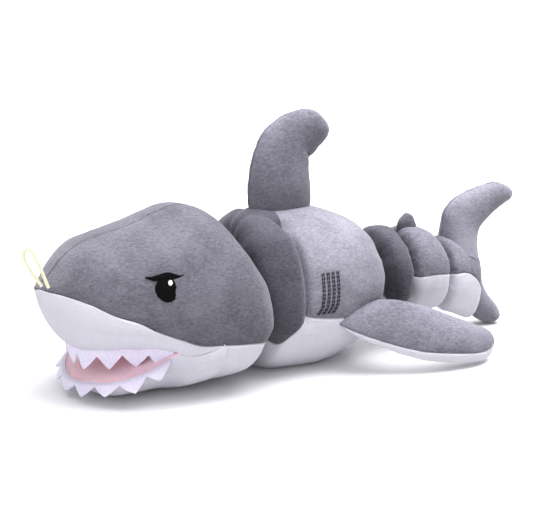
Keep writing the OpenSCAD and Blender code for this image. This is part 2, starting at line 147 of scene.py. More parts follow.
class Chamber:
    """A stuffed tube along Y with rounded ends.

    A station is (y, half width, lowest z, highest z, z of the widest place). Across, the
    tube is two half ellipses that meet at the widest place. Near an end both shrink on a
    superellipse as long as the rounding; a higher fullness makes the end blunter.
    """

    def __init__(self, stations, rounding, fullness, ends=None):
        self.stations = stations
        self.front, self.back = ends or (stations[0][0], stations[-1][0])
        self.rounding, self.fullness = rounding, fullness

    def grow(self, y):
        """Share of the full size, which falls to zero at both ends."""
        total = 1.0
        for depth, length, full in zip((y - self.front, self.back - y), self.rounding, self.fullness):
            share = np.clip(depth / length, 0.0005, 1)
            total = total * (1 - (1 - share) ** full) ** (1 / full)
        return total

    def point(self, y, angle):
        """Surface points at y, at an angle in degrees from the top towards the shark's left."""
        y, angle = np.broadcast_arrays(np.asarray(y, float), np.radians(np.asarray(angle, float)))
        wide, low, high, middle = np.moveaxis(smooth_rows(self.stations, y), -1, 0)
        grow = self.grow(y)
        reach = np.where(np.cos(angle) > 0, high - middle, middle - low)
        return np.stack([wide * grow * np.sin(angle), y, middle + reach * grow * np.cos(angle)], -1)

    def core(self, y):
        """The middle of the tube."""
        y = np.asarray(y, float)
        middle = smooth_rows(self.stations, y)[..., 3]
        return np.stack([0 * y, y, middle], -1)


class Fin:
    """A stuffed fin: ribs from root to tip, each an ellipse between a leading and a trailing edge.

    A rib is (key, leading x, y, z, trailing x, y, z, half thickness). Over the last share of
    the length, tip, the ribs shrink on a quarter circle.
    """

    def __init__(self, ribs, normal, tip):
        self.ribs, self.normal, self.tip = ribs, np.array(normal, float), tip

    def point(self, share, turn):
        """Surface points at a share of the length, turned in degrees from the leading edge."""
        share, turn = np.broadcast_arrays(np.asarray(share, float), np.radians(np.asarray(turn, float)))
        last = self.ribs[-1][0]
        rib = smooth_rows(self.ribs, share * last)
        lead, trail, thick = rib[..., 0:3], rib[..., 3:6], rib[..., 6:7]
        past = np.clip((share - 1 + self.tip) / self.tip, 0, 0.999)[..., None]
        close = np.sqrt(1 - past**2)
        half = (trail - lead) / 2 * close
        return (
            (lead + trail) / 2
            - half * np.cos(turn)[..., None]
            + self.normal * thick * close * np.sin(turn)[..., None]
        )

    def core(self, share):
        """The middle of the rib."""
        rib = smooth_rows(self.ribs, share * self.ribs[-1][0])
        return (rib[..., 0:3] + rib[..., 3:6]) / 2


HEAD = Chamber(
    [
        (-178, 20, 43, 78, 71), (-160, 41, 30, 92, 62), (-135, 53, 30, 99, 53),
        (-112, 60, 26, 104.5, 47), (-98, 62, 9, 109, 44), (-82, 62, 2, 111.5, 42.5),
        (-60, 63, 3, 103, 42), (-43.3, 56, 9, 91, 42),
    ],
    (36, 24), (2, 3.6),
)
# The jaw's widest place is its lip; behind the corner of the mouth it follows the cheek
JAW = Chamber(
    [
        (-157, 27, 4, 13.5, 12), (-147, 36, 1, 18, 15.5), (-126, 42.5, 0, 26, 22.5),
        (-114, 46, 0, 31.5, 29), (-108, 49.8, 0, 34, 32.2), (-104, 54, 0, 33.8, 32),
        (-98, 58.6, 0.4, 34.8, 32.8), (-91, 60.6, 1, 36, 34.4), (-84, 61.4, 1.8, 38, 36.6),
        (-80, 62, 2, 38, 37),
    ],
    (22, 10), (2, 2), (-157, -60),
)
TRUNK = Chamber(
    [
        (-41.9, 48, 5, 101, 50), (-30, 50, 0, 104, 50), (-17, 50, -2, 102, 51),
        (12, 51.5, -2, 100.5, 52), (35, 47, 6, 93, 53), (58.2, 38.5, 14, 86, 54),
    ],
    (10, 27), (2.8, 2.2),
)
TAIL_BASE = Chamber(
    [(58.8, 30, 20, 80, 51), (68, 31.5, 19.5, 80.5, 51), (78.1, 29, 20, 80, 51)],
    (9, 8), (3.5, 3.5),
)
TAIL_MID = Chamber(
    [(78.7, 27.5, 20, 80, 50), (96, 27.5, 19.5, 78, 49), (112.7, 25, 18, 69.5, 46)],
    (10, 10), (3.5, 3.5),
)
TAIL_END = Chamber(
    [(113.3, 23, 17.5, 69, 44), (128, 19.5, 12, 67.5, 40), (150, 13, 2.5, 58, 34)],
    (9, 10), (3.5, 2),
)
DORSAL = Fin(
    [
        (0, 0, -33, 100, 0, 12.5, 98, 6), (1, 0, -33, 117, 0, 12, 112, 9.5),
        (2, 0, -31.5, 129, 0, 11.5, 121, 9.5), (3, 0, -28, 141, 0, 11, 127, 9),
        (4, 0, -22, 152, 0, 11.5, 131, 9), (5, 0, -10, 160.5, 0, 14, 134, 8.5),
        (6, 0, 3.5, 164, 0, 17, 137.5, 8.5), (7, 0, 14, 163, 0, 21, 141.5, 8),
        (8, 0, 21, 157, 0, 24, 145.5, 5.5), (8.5, 0, 24, 153.5, 0, 25, 149.5, 3),
    ],
    (1, 0, 0), 0.03,
)
PECTORAL = Fin(
    [
        (0, 46, 2, 35, 44, 40, 44, 4), (1, 58, 14, 29, 54, 52, 40, 10),
        (2, 67, 32, 22, 58, 68, 33, 12.5), (3, 75, 52, 16, 60, 86, 25, 12.5),
        (4, 80, 75, 12.5, 62, 100, 18, 11.5), (5, 79, 94, 10, 64, 112, 13, 9),
        (6, 74, 107, 9.5, 68, 114, 10.5, 4),
    ],
    (0, 0, 1), 0.05,
)
CAUDAL = Fin(
    [
        (0, 0, 118, 62, 0, 148, 48, 15), (0.6, 0, 118.5, 74, 0, 147.5, 60, 11.5),
        (1, 0, 120, 84, 0, 149, 69, 9.5), (2, 0, 127, 92.5, 0, 155, 75.5, 9),
        (3, 0, 139, 97.5, 0, 162, 80.5, 8.5),
        (4, 0, 152, 100.5, 0, 169, 85, 8), (5, 0, 164, 101.5, 0, 175, 88, 6.5),
        (6, 0, 175, 97, 0, 178, 92, 3),
    ],
    (1, 0, 0), 0.04,
)
LOWER_LOBE = Fin(
    [
        (0, 0, 137, 26, 0, 148, 44, 9), (1, 0, 142, 14, 0, 152, 34, 9),
        (2, 0, 148, 7, 0, 158, 23, 9), (3, 0, 154, 2.6, 0, 165, 15, 8.5),
        (4, 0, 160, 1, 0, 169.5, 8, 7), (5, 0, 165.5, 1.2, 0, 169.5, 4, 3),
    ],
    (1, 0, 0), 0.05,
)
SECOND_DORSAL = Fin(
    [
        (0, 0, 81, 74, 0, 97, 73, 5), (1, 0, 82.5, 81.5, 0, 96, 79.5, 4.5),
        (2, 0, 86, 85.5, 0, 94, 83.5, 3.5), (2.6, 0, 88.5, 87.5, 0, 92, 86.5, 2),
    ],
    (1, 0, 0), 0.1,
)

# Seams of the head as (share, y, angle from the top). The side seam starts under the
# nose's tip; up to share 1 the muzzle is below it, and the throat from there.
SIDE_SEAM = [
    (0, -177.99, 180), (0.03, -177.9, 120), (0.07, -177.3, 90), (0.14, -172.5, 76), (0.26, -160, 79),
    (0.36, -150, 84.5), (0.52, -132.4, 87.5), (0.72, -110, 99), (0.9, -90, 98.5), (1, -84, 98.8),
    (1.3, -62, 101), (1.6, -43.4, 108),
]
UPPER_LIP = [
    (0, -156, 180), (0.2, -153.7, 158), (0.4, -144, 148), (0.6, -132, 140), (0.8, -110, 127),
    (0.9, -98, 109), (1, -84, 98.8),
]
# Seams along the body and tail, between the back and the belly
NECK_SEAM = [(0, -41.8, 133), (0.3, -36, 124), (0.65, -27, 110), (1, -18, 101)]
TORSO_SEAM = [(0, -18, 101), (0.3, 5, 105), (0.6, 35, 108), (1, 58.1, 112)]
TAIL_BASE_SEAM = [(0, 58.9, 128), (1, 78, 128)]
TAIL_MID_SEAM = [(0, 78.8, 92), (1, 112.6, 87)]
TAIL_END_SEAM = [(0, 113.4, 85), (0.5, 130, 80), (0.8, 141, 92), (1, 149.9, 120)]
TOOTH_COUNT = 9
# Route of the hang loop, from one sewn end to the other
LOOP_ROUTE = [
    (12, -174, 73), (10.5, -175.5, 78), (9, -177, 83.5), (8, -179, 89), (7, -180.5, 93),
    (5.5, -182, 95.5), (4, -184, 95.5), (3, -185.5, 92.5), (4, -184, 87), (6, -181.5, 81.5),
    (8, -178.5, 76.5), (9, -177, 73.8),
]
FLOOR_CLEARANCE = 0.2
CLOTH_THICKNESS = 1.2
# Across the lumps of stuffing, the smaller lumps on them, a tuft of pile and a pucker, and
# how far a pucker runs in from its seam
LUMP, SMALL_LUMP, TUFT, PUCKER, PUCKER_REACH = 26, 9, 2.2, 3.6, 4.5
# The skins' fullness of stuffing
FILL = 0.8

# ---- Mesh building ------------------------------------------------------------------


def outward(grid, core):
    """Unit normals of a grid, turned away from its core, and whether rows cross columns gives them."""
    n = np.cross(np.gradient(grid, axis=0), np.gradient(grid, axis=1))
    n /= np.maximum(np.linalg.norm(n, axis=-1, keepdims=True), 1e-9)
    forward = np.sum((grid - core) * n) > 0
    return (n if forward else -n), forward


def lengths(grid, axis):
    """Length along a grid's lines from the first row or column to each point."""
    steps = np.linalg.norm(np.diff(grid, axis=axis), axis=-1)
    return np.insert(np.cumsum(steps, axis=axis), 0, 0, axis=axis)


def crowded(n, crowd=0.75):
    """Shares from 0 to 1 in n steps that are closer together near both ends."""
    t = np.linspace(0, 1, n + 1)
    return t - crowd * np.sin(2 * math.pi * t) / (2 * math.pi)


def eased(n):
    """Shares from 0 to 1 on a half turn's cosine."""
    return (1 - np.cos(np.linspace(0, math.pi, n + 1))) / 2


def roll_under(distance, radius):
    """How far a panel's edge rolls inward into its seam: a quarter circle of that radius."""
    x = np.clip(radius - distance, 0, radius)
    return radius - np.sqrt(np.maximum(radius**2 - x**2, 0))


def sewn(grid, core, seed, roll, pucker, lumps, extra=0.0, calm=1.0):
    """A stuffed panel's grid, moved along its normals, and the way its rows turn.

    Broad lumps of stuffing and fine pile are added, the first and last columns roll under
    as hems, and small puckers run in from them. Where calm is 0, at a closed end, nothing
    moves.
    """
    n, forward = outward(grid, core)
    move = lumps * noise(grid, LUMP, seed) + 0.35 * lumps * noise(grid, SMALL_LUMP, seed + 1)
    move += 0.1 * noise(grid * (1, 0.5, 1.3), TUFT, seed + 2) + extra
    along, across = lengths(grid, 0), lengths(grid, 1)
    hems = ((across, along[:, :1]), (across[:, -1:] - across, along[:, -1:]))
    for i, (distance, route) in enumerate(hems):
        folds = noise_along(route + 0 * distance, PUCKER, seed + 10 + i)
        move -= roll_under(distance, roll)
        move -= pucker * (0.6 + folds) * np.exp(-distance / PUCKER_REACH) * ramp(distance, 0, roll)
    moved = grid + n * (move * calm)[..., None]
    moved[..., 2] = np.maximum(moved[..., 2], FLOOR_CLEARANCE)
    return moved, forward


def grid_faces(n, m, forward, wrap=False):
    """Quads of a grid of n by m points, row by row; wrap joins the last column to the first."""
    i, j = np.meshgrid(np.arange(n - 1), np.arange(m if wrap else m - 1), indexing="ij")
    k = (j + 1) % m
    quad = np.stack([i * m + j, (i + 1) * m + j, (i + 1) * m + k, i * m + k], -1).reshape(-1, 4)
    return quad if forward else quad[:, ::-1]


def make_mesh(name, points, faces, material, sharp=None):
    """A smooth mesh object at the origin from points in table millimetres."""
    mesh = bpy.data.meshes.new(name)
    mesh.from_pydata((np.asarray(points) * MM).tolist(), [], [list(map(int, f)) for f in faces])
    mesh.polygons.foreach_set("use_smooth", np.ones(len(mesh.polygons), bool))
    if sharp is not None:
        ends = np.empty(len(mesh.edges) * 2, np.int32)
        mesh.edges.foreach_get("vertices", ends)
        flags = sharp[ends.reshape(-1, 2)].all(axis=1)
        mesh.attributes.new("sharp_edge", "BOOLEAN", "EDGE").data.foreach_set("value", flags)
    mesh.materials.append(material)
    mesh.update()
    obj = bpy.data.objects.new(name, mesh)
    bpy.context.scene.collection.objects.link(obj)
    return obj


def cloth_piece(name, grid, forward, material, thickness=CLOTH_THICKNESS):
    """An open grid given the thickness of cloth on its inner side."""
    n, m = grid.shape[:2]
    border = np.zeros((n, m), bool)
    border[[0, -1]] = True
    border[:, [0, -1]] = True
    obj = make_mesh(name, grid.reshape(-1, 3), grid_faces(n, m, forward), material, border.ravel())
    wall = obj.modifiers.new("Cloth thickness", "SOLIDIFY")
    wall.thickness = thickness * MM
    wall.offset = -1
    wall.use_even_offset = False
    return obj


def closed_piece(name, grid, forward, material):
    """A tube of rings with both ends closed."""
    n, m = grid.shape[:2]
    faces = list(grid_faces(n, m, forward, wrap=True))
    first, last = np.arange(m), (n - 1) * m + np.arange(m)
    faces.append(first if forward else first[::-1])
    faces.append(last[::-1] if forward else last)
    return make_mesh(name, grid.reshape(-1, 3), faces, material)


# ---- Materials ----------------------------------------------------------------------


def linear(colour):
    """Linear RGBA of an sRGB hex colour."""
    parts = [int(colour[i : i + 2], 16) / 255 for i in (1, 3, 5)]
    return [c / 12.92 if c <= 0.04045 else ((c + 0.055) / 1.055) ** 2.4 for c in parts] + [1]


def tone(colour, factor):
    """A linear colour made darker or lighter."""
    return [min(c * factor, 1) for c in colour[:3]] + [1]


def node(tree, kind, settings=(), links=()):
    """Adds a node: settings are sockets or properties with values, links are sockets with sources."""
    made = tree.nodes.new(kind)
    for key, value in dict(settings).items():
        if isinstance(key, int) or key in made.inputs:
            made.inputs[key].default_value = value
        else:
            setattr(made, key, value)
    for key, source in dict(links).items():
        tree.links.new(source, made.inputs[key])
    return made


def new_material(name):
    """An empty material, its node tree and the output of its object coordinates."""
    material = bpy.data.materials.new(name)
    material.use_nodes = True
    tree = material.node_tree
    tree.nodes.clear()
    return material, tree, node(tree, "ShaderNodeTexCoord").outputs["Object"]


def shades(tree, source, low, high, span=(0, 1)):
    """A ramp over a source's values, from one colour to another."""
    made = node(tree, "ShaderNodeValToRGB", links={"Fac": source})
    for element, position, colour in zip(made.color_ramp.elements, span, (low, high)):
        element.position, element.color = position, colour
    return made.outputs[0]


def surface(tree, settings, colour, height=None, strength=0.0, distance=0.0):
    """The shader and the output, with a bump from a height where there is one."""
    links = {"Base Color": colour}
    if height is not None:
        bump = node(tree, "ShaderNodeBump", {"Strength": strength, "Distance": distance}, {"Height": height})
        links["Normal"] = bump.outputs[0]
    shader = node(tree, "ShaderNodeBsdfPrincipled", settings, links)
    node(tree, "ShaderNodeOutputMaterial", links={"Surface": shader.outputs[0]})


def plush_material(name, colour, contrast=0.32, pile=0.85, sheen=0.35, shade=(0.5, 1.25)):
    """Short-pile polyester plush, brushed: soft streaks where the pile lies over, and a pale edge.

    Light and shade are painted into the colour: it is lighter on upward faces and darker on downward ones.
    """
    material, tree, place = new_material(name)
    # Locks of pile, 2.4 mm long and 1 mm wide, that lie along the body
    lay = node(tree, "ShaderNodeMapping", {"Scale": (0.7, 0.42, 1.0)}, {"Vector": place})
    streaks = node(
        tree, "ShaderNodeTexNoise", {"Scale": 980, "Detail": 3.0, "Roughness": 0.6, "Distortion": 0.6},
        {"Vector": lay.outputs[0]},
    ).outputs[0]
    # Patches about 30 mm wide where the pile was brushed another way, with edges frayed at 5 mm
    patches = node(
        tree, "ShaderNodeTexNoise", {"Scale": 34, "Detail": 3.0, "Roughness": 0.6}, {"Vector": place},
    ).outputs[0]
    both = node(tree, "ShaderNodeMix", {"data_type": "FLOAT", 0: 0.45}, {2: streaks, 3: patches})
    dark, pale = tone(colour, 1 - contrast), tone(colour, 1 + contrast)
    brushed = shades(tree, both.outputs[0], dark, pale, (0.39, 0.61))
    # Painted light and shade: the colour is scaled by how far the face points up, from the low end of shade
    # on faces tipped down to its high end on upward faces
    normal = node(tree, "ShaderNodeNewGeometry").outputs["Normal"]
    facing = node(tree, "ShaderNodeSeparateXYZ", links={0: normal})
    painted_top_light = node(
        tree, "ShaderNodeMapRange",
        {"From Min": -0.3, "From Max": 0.85, "To Min": shade[0], "To Max": shade[1]},
        {"Value": facing.outputs["Z"]},
    )
    shaded = node(tree, "ShaderNodeVectorMath", {"operation": "SCALE"}, {0: brushed, "Scale": painted_top_light.outputs[0]})
    gloss = {
        "Roughness": 0.95, "Specular IOR Level": 0.15, "Sheen Weight": sheen, "Sheen Roughness": 0.45,
        "Sheen Tint": (0.93, 0.92, 1.0, 1),
    }
    surface(tree, gloss, shaded.outputs[0], streaks, pile, 0.0008)
    return material


def felt_material(name, colour):
    """Pressed acrylic felt: matted fibres with a faint mottle and no shine."""
    material, tree, place = new_material(name)
    fibres = node(
        tree, "ShaderNodeTexNoise", {"Scale": 900, "Detail": 4.0, "Roughness": 0.7}, {"Vector": place},
    ).outputs[0]
    gloss = {
        "Roughness": 1.0, "Specular IOR Level": 0.1, "Sheen Weight": 0.2, "Subsurface Weight": 0.08,
        "Subsurface Scale": 0.002,
    }
    mottle = shades(tree, fibres, tone(colour, 0.86), tone(colour, 1.1), (0.3, 0.7))
    surface(tree, gloss, mottle, fibres, 0.35, 0.0005)
    return material


def thread_material(name, colour, turn=0.0):
    """Rayon embroidery thread in satin stitch: fine ridges 0.5 mm apart with a soft gloss."""
    material, tree, place = new_material(name)
    turned = node(tree, "ShaderNodeMapping", {"Rotation": (turn, 0, 0)}, {"Vector": place})
    ridges = node(
        tree, "ShaderNodeTexWave", {"bands_direction": "Z", "Scale": 320, "Distortion": 1.2, "Detail": 1.0},
        {"Vector": turned.outputs[0]},
    ).outputs[1]
    ridge_shades = shades(tree, ridges, tone(colour, 0.7), tone(colour, 1.15))
    surface(tree, {"Roughness": 0.85, "Specular IOR Level": 0.08}, ridge_shades, ridges, 0.5, 0.0003)
    return material


def plastic_material(name, colour):
    """Blow-moulded polyethylene: slightly cloudy and satin."""
    material, tree, place = new_material(name)
    cloud = node(tree, "ShaderNodeTexNoise", {"Scale": 180, "Detail": 2.0}, {"Vector": place}).outputs[0]
    gloss = {"Roughness": 0.38, "Subsurface Weight": 0.2, "Subsurface Scale": 0.003}
    surface(tree, gloss, shades(tree, cloud, tone(colour, 0.9), tone(colour, 1.05)))
    return material


MATERIALS = {}


def material(key):
    """The finished material of a kind, made once from the colours."""
    if key not in MATERIALS:
        c = bpy.context.scene.shark_colours
        # Every plush gets painted light and shade by facing, lighter on upward faces and darker on downward
        # ones; the white one over a narrower range
        makers = {
            "dark": lambda: plush_material("grey_plush_dark", c.dark),
            "middle": lambda: plush_material("grey_plush_middle", c.middle),
            "light": lambda: plush_material("grey_plush_light", c.light, 0.26, 0.8),
            "deep": lambda: plush_material("grey_plush_deep", c.deep),
            "white": lambda: plush_material("white_plush", c.white, 0.05, 0.25, 0.15, (0.66, 1.04)),
            "felt": lambda: felt_material("white_felt", c.felt),
            "pink": lambda: felt_material("pink_felt", c.pink),
            "black": lambda: thread_material("black_satin_stitch", c.black),
            "glint": lambda: thread_material("white_satin_stitch", c.glint),
            "gill": lambda: thread_material("charcoal_thread", c.gill, 0.7),
            "cord": lambda: thread_material("braided_cord", c.cord, 0.5),
            "plastic": lambda: plastic_material("squeaker_polyethylene", c.plastic),
            "tie": lambda: thread_material("grey_sewing_thread", c.tie),
        }
        MATERIALS[key] = makers[key]()
    return MATERIALS[key]


# ---- Properties ---------------------------------------------------------------------


def length_property(name, description, default, low, high):
    """A length in metres."""
    return FloatProperty(
        name=name, description=description, default=default, min=low, max=high, unit="LENGTH", precision=5,
    )


def colour_property(name, description, colour):
    """A colour, given as sRGB hex and kept as linear RGBA."""
    return FloatVectorProperty(
        name=name, description=description, default=linear(colour), size=4, subtype="COLOR", min=0, max=1,
    )


class SharkSizes(bpy.types.PropertyGroup):
    """Sizes a user would change."""

    seam_roll: length_property("Seam roll", "Radius of a panel's rolled hem", 0.0017, 0.0005, 0.003)
    pucker: length_property("Pucker", "Depth of the puckers along a seam", 0.00045, 0, 0.0015)
    lumps: length_property("Lumps", "Height of the lumps of stuffing", 0.0009, 0, 0.003)
    felt: length_property("Felt", "Thickness of the felt", 0.0013, 0.0006, 0.0025)
    tooth: length_property("Tooth", "Height of an upper tooth", 0.008, 0.004, 0.012)
    cord: length_property("Cord", "Diameter of the hang loop's cord", 0.002, 0.001, 0.003)


class SharkColours(bpy.types.PropertyGroup):
    """Colours a user would change."""

    dark: colour_property("Dark plush", "Head", "#66646e")
    # Deep plush: the grey darkened partly because its pile is brushed over and partly as painted shade, where
    # the neck and the tail base lie in shade
    deep: colour_property("Deep plush", "Neck and tail base, with the pile brushed over", "#53515b")
    middle: colour_property("Middle plush", "Fins and middle of the tail", "#7c7a86")
    light: colour_property("Light plush", "Body and tail end", "#8b8995")
    white: colour_property("White plush", "Muzzle, jaw and belly", "#d9d8e2")
    felt: colour_property("White felt", "Teeth", "#d9d3e6")
    pink: colour_property("Pink felt", "Inside of the mouth", "#f8d0db")
    black: colour_property("Black thread", "Eyes", "#050506")
    glint: colour_property("White thread", "Light in the eyes", "#f4f4fa")
    gill: colour_property("Charcoal thread", "Gills", "#34323a")
    cord: colour_property("Cord", "Hang loop", "#e1e3c0")
    plastic: colour_property("Plastic", "Squeaker", "#eeeee6")
    tie: colour_property("Grey thread", "Gathering thread of the neck", "#6a6872")


# ---- Pieces -------------------------------------------------------------------------


def edge(rows, shares, turn=0.0):
    """Places (y, angle) along a seam."""
    places = smooth_rows(rows, shares)
    places[..., 1] += turn
    return places


def between(edge_a, edge_b, columns):
    """A grid of places (y, angle) from one edge to the other."""
    return edge_a[:, None] + (edge_b - edge_a)[:, None] * columns[None, :, None]


def other_side(places):
    """The same places on the shark's other side."""
    return places * (1, -1)


def around(places):
    """The same places on the other side, with angles that go on round the belly."""
    return places * (1, -1) + (0, 360)


def finish_cloth(obj, nodes):
    """Hides the CAD nodes that a stuffed skin stands for, and gives the skin back."""
    if nodes:
        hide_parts(*nodes)
    return obj


def bend(obj, a, b, centre, before, after, axis=(0, 1, 0)):
    """Bakes a piece's transform into its mesh; it is given two bodies, a joint's centre, a span from before
    to after it and an axis, but the piece is not bent.
    """
    axis = np.array(axis, float)
    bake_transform(obj)


def chamber_skin(
    name, chamber, places, seed, kind, slot, nodes, folds=None, fill=FILL, thickness=CLOTH_THICKNESS, **hems
):
    """A padded skin of a chamber over a grid of places (y, angle), hemmed along its long sides."""
    sizes = bpy.context.scene.shark_sizes
    y, angle = places[..., 0], places[..., 1]
    hems = {
        "roll": table_mm(sizes.seam_roll), "pucker": table_mm(sizes.pucker), "lumps": table_mm(sizes.lumps),
        **hems,
    }
    grid, forward = sewn(
        chamber.point(y, angle), chamber.core(y), seed, extra=folds(y, angle) if folds else 0.0,
        calm=ramp(chamber.grow(y), 0.05, 0.35), **hems,
    )
    obj = cloth_piece(name, grid, forward, material(kind), thickness)
    return finish_cloth(obj, nodes)


def from_top(angle):
    """Angle from the top of the body, the same on both sides."""
    return np.abs((angle + 180) % 360 - 180)


def gathers(y, angle, end, seed, reach, depth):
    """Folds that a drawn-in end makes: ridges and grooves round it that die out with distance."""
    ridges = noise_along(angle, 17, seed) + 0.5 * noise_along(angle, 8, seed + 1)
    return depth * ridges * np.exp(-np.abs(y - end) / reach)


def head_folds(y, angle):
    """Gathers at the neck, and cheeks that swell back over them."""
    turn = from_top(angle)
    cheek = 3.5 * ramp(y, -62, -47) * ramp(turn, 40, 65) * ramp(-turn, -108, -88)
    nape = 3.0 * ramp(y, -74, -50) * ramp(-turn, -48, -20)
    return gathers(y, angle, HEAD.back, 40, 8, 0.6) + cheek - nape


def bend_neck(obj, behind=False):
    """Bakes the transform of neck fabric; the crease at the neck's tie is passed on, with the head forward of
    it or the body behind.
    """
    if behind:
        bend(obj, "torso", "neck_tie", NECK, 18, 0.5)
    else:
        bend(obj, "neck_tie", "head", HEAD_PIVOT, 0, -20)


def aim(obj, place, target):
    """Adds a camera or lamp to the scene at a place, looking at the target."""
    bpy.context.scene.collection.objects.link(obj)
    obj.location = place
    obj.rotation_mode = "QUATERNION"
    obj.rotation_quaternion = (target - Vector(place)).to_track_quat("-Z", "Y")


class SHARK_OT_stage(bpy.types.Operator):
    """Floor, soft lights and the camera."""

    bl_idname = "shark.stage"
    bl_label = "Stage"

    azimuth, elevation, distance, lens = 60.0, 14.0, 0.975, 102.66

    def execute(self, context):
        scene = context.scene
        a, e = math.radians(self.azimuth), math.radians(self.elevation)
        back = Vector((math.sin(a) * math.cos(e), -math.cos(a) * math.cos(e), math.sin(e)))
        target = Vector((0, -0.020, 0.06825))
        # Camera: azimuth from the nose towards the shark's left, elevation above the floor
        data = bpy.data.cameras.new("Camera")
        data.lens, data.sensor_width = self.lens, 36
        camera = bpy.data.objects.new("Camera", data)
        aim(camera, target + back * self.distance, target)
        scene.camera = camera
        scene.view_settings.view_transform = "Standard"

        side = 3.0
        corners = [(-side, -side, 0), (side, -side, 0), (side, side, 0), (-side, side, 0)]
        mesh = bpy.data.meshes.new("floor")
        mesh.from_pydata(corners, [], [(0, 1, 2, 3)])
        floor_material, tree, place = new_material("floor_paper")
        grain = node(tree, "ShaderNodeTexNoise", {"Scale": 60}, {"Vector": place})
        paper = shades(tree, grain.outputs[0], (0.93, 0.93, 0.94, 1), (0.96, 0.96, 0.965, 1))
        shader = node(tree, "ShaderNodeBsdfDiffuse", links={"Color": paper})
        node(tree, "ShaderNodeOutputMaterial", links={"Surface": shader.outputs[0]})
        mesh.materials.append(floor_material)
        floor = bpy.data.objects.new("floor", mesh)
        scene.collection.objects.link(floor)

        world = bpy.data.worlds.new("studio")
        world.use_nodes = True
        tree = world.node_tree
        tree.nodes.clear()
        # White below the horizon, then brighter from the horizon to overhead
        place = node(tree, "ShaderNodeTexCoord").outputs["Generated"]
        height = node(tree, "ShaderNodeSeparateXYZ", links={0: place})
        sky = node(tree, "ShaderNodeValToRGB", links={"Fac": height.outputs["Z"]})
        sky.color_ramp.elements[0].color = (1, 1, 1, 1)
        sky.color_ramp.elements[1].color = (0.85, 0.85, 0.87, 1)
        sky.color_ramp.elements.new(0.01).color = (0.4, 0.4, 0.41, 1)
        background = node(tree, "ShaderNodeBackground", links={"Color": sky.outputs[0]})
        node(tree, "ShaderNodeOutputWorld", links={"Surface": background.outputs[0]})
        scene.world = world
        lamps = [
            ("key", (0.25, 0.25, 1.2), 0.9, 13.0),
            ("fill", (0.75, -1.0, 0.35), 0.8, 3.0),
            ("rim", (-0.5, 0.7, 0.8), 0.7, 4.0),
        ]
        sun = bpy.data.lights.new("overhead", "SUN")
        sun.energy, sun.angle = 1.3, math.radians(60)
        scene.collection.objects.link(bpy.data.objects.new("overhead", sun))
        for name, place, size, power in lamps:
            light = bpy.data.lights.new(name, "AREA")
            light.size, light.energy = size, power
            aim(bpy.data.objects.new(name, light), place, target)
        return {"FINISHED"}


class SHARK_OT_hang_loop(bpy.types.Operator):
    """Cord loop sewn into the nose: a round tube along a smooth route."""

    bl_idname = "shark.hang_loop"
    bl_label = "Hang loop"

    def execute(self, context):
        radius = context.scene.shark_sizes.cord / MM / 2
        route = [(i,) + p for i, p in enumerate(LOOP_ROUTE)]
        path = smooth_rows(route, np.linspace(0, len(LOOP_ROUTE) - 1, 110))
        ahead = np.gradient(path, axis=0)
        ahead /= np.linalg.norm(ahead, axis=1, keepdims=True)
        # The loop's flat side faces forward and to the left
        side = np.cross((-0.7, 0.7, 0.11), ahead)
        side /= np.linalg.norm(side, axis=1, keepdims=True)
        up = np.cross(ahead, side)
        turn = np.linspace(0, 2 * math.pi, 14, endpoint=False)
        along = lengths(path[:, None], 0)
        # Braid: two sets of strands cross over one another and lift the surface by a tenth
        braid = 1 + 0.09 * np.cos(2 * turn + along * 2.4) * np.cos(2 * turn - along * 2.4)
        ring = side[:, None] * np.cos(turn)[:, None] + up[:, None] * np.sin(turn)[:, None]
        grid = path[:, None] + ring * (radius * braid)[..., None]
        _, forward = outward(grid, path[:, None])
        obj = closed_piece("hang_loop_cord", grid, forward, material("cord"))
        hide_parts("hang_loop")
        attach(obj, "head")
        return {"FINISHED"}


# The head's panels share one field of lumps, so that they meet along their seams
HEAD_SEED = 3


class SHARK_OT_head(bpy.types.Operator):
    """Grey side panels, white muzzle and throat, and the felt roof of the mouth."""

    bl_idname = "shark.head"
    bl_label = "Head"

    def execute(self, context):
        seam = edge(SIDE_SEAM, SIDE_SEAM[-1][0] * eased(190))
        left = between(seam, seam * (1, 0), crowded(110))
        for side, places in (("left", left), ("right", other_side(left))):
            nodes = [f"head_{side}_panel"] + (["head_stuffing"] if side == "left" else [])
            bend_neck(chamber_skin(
                f"head_{side}_plush", HEAD, places, HEAD_SEED, "dark", "dark_plush", nodes, head_folds,
            ))

        def both_sides(places):
            return np.concatenate([around(places)[:0:-1], places])

        lip, upper = (both_sides(edge(rows, eased(100))) for rows in (UPPER_LIP, SIDE_SEAM))
        muzzle = chamber_skin(
            "muzzle_plush", HEAD, between(lip, upper, crowded(70)), HEAD_SEED, "white", "white_plush",
            ["muzzle"], lumps=0.6, roll=1.2,
        )
        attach(muzzle, "head")

        left = edge(SIDE_SEAM, 0.95 + 0.65 * eased(100))
        bend_neck(chamber_skin(
            "throat_plush", HEAD, between(around(left), left, crowded(110)), HEAD_SEED, "white",
            "white_plush", ["throat"], head_folds, lumps=0.6, roll=1.2,
        ))

        left = edge(UPPER_LIP, np.linspace(0.05, 0.84, 60), 0.8)
        places = between(around(left), left, np.linspace(0, 1, 61))
        grid = HEAD.point(places[..., 0], places[..., 1])
        n, forward = outward(grid, HEAD.core(places[..., 0]))
        grid = grid - n * (0.8 + 0.2 * noise(grid, 6, 11))[..., None]
        felt = table_mm(context.scene.shark_sizes.felt)
        obj = cloth_piece("palate_felt", grid, forward, material("pink"), felt)
        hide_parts("palate")
        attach(obj, "head")
        return {"FINISHED"}


